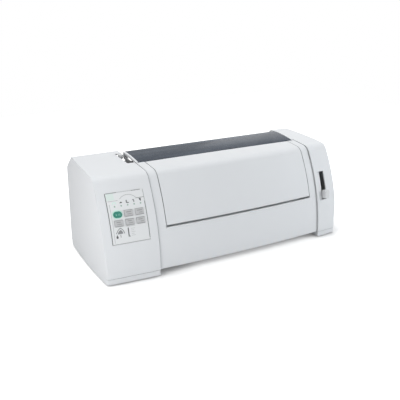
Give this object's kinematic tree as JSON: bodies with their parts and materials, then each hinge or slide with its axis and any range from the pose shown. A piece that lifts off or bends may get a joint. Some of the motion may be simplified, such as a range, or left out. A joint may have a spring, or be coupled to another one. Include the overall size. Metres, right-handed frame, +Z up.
{
  "type": "dot matrix printer",
  "caption": "Wide-carriage dot matrix printer with bowed light-grey housing, hinged front cover and ribbon door, smoked top cover, operator panel, levers and full print mechanism",
  "frame": {"origin": "middle of the underside, on the desk under the rubber feet", "axes": "+X to the right, +Y to the rear, +Z up; the operator panel faces -Y"},
  "size_m": [0.626, 0.28, 0.239],
  "materials": {
    "housing": "fine-textured light grey ABS",
    "smoked": "clear smoked acrylic",
    "panel": "silk-screened polycarbonate",
    "lamp": "clear green lens",
    "green_key": "satin moulded",
    "grey_key": "satin moulded",
    "lever": "satin moulded",
    "rubber": "ground matt",
    "steel": "zinc-plated",
    "dark_plastic": "glass-filled, matt",
    "head": "black anodised casting",
    "ribbon": "inked nylon",
    "knob": "moulded",
    "brass": "machined",
    "grey_plastic": "moulded acetal",
    "board": "solder-resist green"
  },
  "bodies": {
    "chassis": {"base_tray": "housing", "rubber_feet": "rubber", "left_end_housing": "housing", "right_end_housing": "housing", "rear_housing": "housing", "operator_panel": "panel", "status_lamps": "lamp", "lever_pivot_pins": "steel", "left_chassis_plate": "steel", "right_chassis_plate": "steel", "chassis_pan": "steel", "front_guide_rail": "steel", "carriage_shaft": "steel", "carriage_motor": "dark_plastic", "carriage_belt": "rubber", "feed_motor": "dark_plastic", "tractor_rod": "steel", "paper_guide": "steel", "main_board": "board", "power_supply": "steel", "power_inlet": "dark_plastic", "parallel_port": "steel", "serial_port": "steel", "housing_screws": "steel"},
    "front_cover": {"front_cover": "housing"},
    "ribbon_door": {"ribbon_door": "housing"},
    "top_cover": {"top_cover_frame": "housing", "top_cover_window": "smoked"},
    "start_button": {"start_button": "green_key"},
    "tear_off_button": {"tear_off_button": "grey_key"},
    "feed_button": {"feed_button": "grey_key"},
    "font_button": {"font_button": "grey_key"},
    "pitch_button": {"pitch_button": "grey_key"},
    "setup_button": {"setup_button": "grey_key"},
    "thickness_lever": {"thickness_lever": "lever"},
    "paper_select_lever": {"paper_select_lever": "lever"},
    "carriage": {"carriage": "dark_plastic", "print_head": "head", "ribbon_cartridge": "dark_plastic", "ribbon": "ribbon"},
    "ribbon_knob": {"ribbon_knob": "knob"},
    "drive_pulley": {"drive_pulley": "brass"},
    "idler_pulley": {"idler_pulley": "grey_plastic"},
    "platen": {"platen_roller": "rubber", "platen_shaft": "steel", "platen_gear": "grey_plastic"},
    "knob_wheel": {"knob_wheel": "dark_plastic"},
    "idler_gear": {"idler_gear": "grey_plastic"},
    "feed_pinion": {"feed_pinion": "brass"},
    "tractor_shaft": {"tractor_shaft": "steel"},
    "left_tractor": {"left_tractor": "dark_plastic"},
    "left_sprocket": {"left_sprocket": "grey_plastic"},
    "left_tractor_cover": {"left_tractor_cover": "grey_plastic"},
    "right_tractor": {"right_tractor": "dark_plastic"},
    "right_sprocket": {"right_sprocket": "grey_plastic"},
    "right_tractor_cover": {"right_tractor_cover": "grey_plastic"},
    "paper_bail": {"paper_bail": "steel"},
    "bail_rollers": {"bail_rollers": "rubber"},
    "power_switch": {"power_switch": "dark_plastic"}
  },
  "joints": [
    {"name": "front_cover_hinge", "type": "hinge", "parent": "chassis", "child": "front_cover", "pos_m": [0.032, -0.1195, 0.027], "axis": [1, 0, 0], "range_deg": [0, 70]},
    {"name": "ribbon_door_hinge", "type": "hinge", "parent": "front_cover", "child": "ribbon_door", "pos_m": [0.032, -0.0255, 0.223], "axis": [-1, 0, 0], "range_deg": [0, 80]},
    {"name": "top_cover_hinge", "type": "hinge", "parent": "chassis", "child": "top_cover", "pos_m": [0.032, 0.0475, 0.229], "axis": [-1, 0, 0], "range_deg": [0, 75]},
    {"name": "start_press", "type": "slide", "parent": "chassis", "child": "start_button", "axis": [0, 1, 0], "range_m": [0, 0.0012], "stiffness_N_per_m": 500, "springref_m": -0.0006},
    {"name": "tear_off_press", "type": "slide", "parent": "chassis", "child": "tear_off_button", "axis": [0, 1, 0], "range_m": [0, 0.0012], "stiffness_N_per_m": 500, "springref_m": -0.0006},
    {"name": "feed_press", "type": "slide", "parent": "chassis", "child": "feed_button", "axis": [0, 1, 0], "range_m": [0, 0.0012], "stiffness_N_per_m": 500, "springref_m": -0.0006},
    {"name": "font_press", "type": "slide", "parent": "chassis", "child": "font_button", "axis": [0, 1, 0], "range_m": [0, 0.0012], "stiffness_N_per_m": 500, "springref_m": -0.0006},
    {"name": "pitch_press", "type": "slide", "parent": "chassis", "child": "pitch_button", "axis": [0, 1, 0], "range_m": [0, 0.0012], "stiffness_N_per_m": 500, "springref_m": -0.0006},
    {"name": "setup_press", "type": "slide", "parent": "chassis", "child": "setup_button", "axis": [0, 1, 0], "range_m": [0, 0.0012], "stiffness_N_per_m": 500, "springref_m": -0.0006},
    {"name": "thickness_lever_turn", "type": "hinge", "parent": "chassis", "child": "thickness_lever", "pos_m": [0.278, -0.0475, 0.11], "axis": [-1, 0, 0], "range_deg": [0, 32]},
    {"name": "paper_select_turn", "type": "hinge", "parent": "chassis", "child": "paper_select_lever", "pos_m": [-0.2, 0.0385, 0.196], "axis": [1, 0, 0], "range_deg": [-12, 12]},
    {"name": "carriage_slide", "type": "slide", "parent": "chassis", "child": "carriage", "axis": [1, 0, 0], "range_m": [-0.17, 0.17]},
    {"name": "ribbon_knob_turn", "type": "hinge", "parent": "carriage", "child": "ribbon_knob", "pos_m": [0.008, -0.0425, 0.21], "axis": [0, 0, 1], "continuous": true},
    {"name": "drive_pulley_turn", "type": "hinge", "parent": "chassis", "child": "drive_pulley", "pos_m": [-0.158, -0.0455, 0.127], "axis": [0, 0, 1], "range_deg": [-1150, 1150]},
    {"name": "idler_pulley_turn", "type": "hinge", "parent": "chassis", "child": "idler_pulley", "pos_m": [0.222, -0.0455, 0.127], "axis": [0, 0, 1], "range_deg": [-1150, 1150]},
    {"name": "platen_turn", "type": "hinge", "parent": "chassis", "child": "platen", "pos_m": [0.032, 0.0125, 0.18], "axis": [1, 0, 0], "continuous": true},
    {"name": "knob_wheel_turn", "type": "hinge", "parent": "chassis", "child": "knob_wheel", "pos_m": [-0.192, 0.00344, 0.21381], "axis": [1, 0, 0], "continuous": true},
    {"name": "idler_gear_turn", "type": "hinge", "parent": "chassis", "child": "idler_gear", "pos_m": [-0.1865, 0.04527, 0.15706], "axis": [1, 0, 0], "continuous": true},
    {"name": "feed_pinion_turn", "type": "hinge", "parent": "chassis", "child": "feed_pinion", "pos_m": [-0.1865, 0.04093, 0.13244], "axis": [1, 0, 0], "continuous": true},
    {"name": "tractor_shaft_turn", "type": "hinge", "parent": "chassis", "child": "tractor_shaft", "pos_m": [0.032, 0.07722, 0.16869], "axis": [1, 0, 0], "continuous": true},
    {"name": "left_tractor_slide", "type": "slide", "parent": "chassis", "child": "left_tractor", "axis": [1, 0, 0], "range_m": [0, 0.06]},
    {"name": "right_tractor_slide", "type": "slide", "parent": "chassis", "child": "right_tractor", "axis": [1, 0, 0], "range_m": [-0.12, 0.02]},
    {"name": "left_sprocket_turn", "type": "hinge", "parent": "left_tractor", "child": "left_sprocket", "pos_m": [-0.122, 0.07722, 0.16869], "axis": [1, 0, 0], "continuous": true},
    {"name": "right_sprocket_turn", "type": "hinge", "parent": "right_tractor", "child": "right_sprocket", "pos_m": [0.186, 0.07722, 0.16869], "axis": [1, 0, 0], "continuous": true},
    {"name": "left_tractor_cover_hinge", "type": "hinge", "parent": "left_tractor", "child": "left_tractor_cover", "pos_m": [-0.133, 0.0765, 0.18409], "axis": [0, -1, 0], "range_deg": [0, 110]},
    {"name": "right_tractor_cover_hinge", "type": "hinge", "parent": "right_tractor", "child": "right_tractor_cover", "pos_m": [0.197, 0.0765, 0.18409], "axis": [0, 1, 0], "range_deg": [0, 110]},
    {"name": "paper_bail_lift", "type": "hinge", "parent": "chassis", "child": "paper_bail", "pos_m": [0.032, 0.0345, 0.204], "axis": [-1, 0, 0], "range_deg": [0, 25]},
    {"name": "bail_rollers_turn", "type": "hinge", "parent": "paper_bail", "child": "bail_rollers", "pos_m": [0.032, -0.00201, 0.20072], "axis": [1, 0, 0], "continuous": true},
    {"name": "power_switch_rock", "type": "hinge", "parent": "chassis", "child": "power_switch", "pos_m": [-0.1, 0.1335, 0.052], "axis": [0, 0, 1], "range_deg": [0, 14]}
  ],
  "couplings": [
    {"joint": "drive_pulley_turn", "follows": "carriage_slide", "rad_per_m": 114.94},
    {"joint": "idler_pulley_turn", "follows": "carriage_slide", "rad_per_m": 114.94},
    {"joint": "knob_wheel_turn", "follows": "platen_turn", "ratio": -1.6923},
    {"joint": "idler_gear_turn", "follows": "platen_turn", "ratio": -1.2222},
    {"joint": "feed_pinion_turn", "follows": "platen_turn", "ratio": 3.1429},
    {"joint": "tractor_shaft_turn", "follows": "platen_turn", "ratio": 1.375},
    {"joint": "left_sprocket_turn", "follows": "platen_turn", "ratio": 1.375},
    {"joint": "right_sprocket_turn", "follows": "platen_turn", "ratio": 1.375}
  ]
}
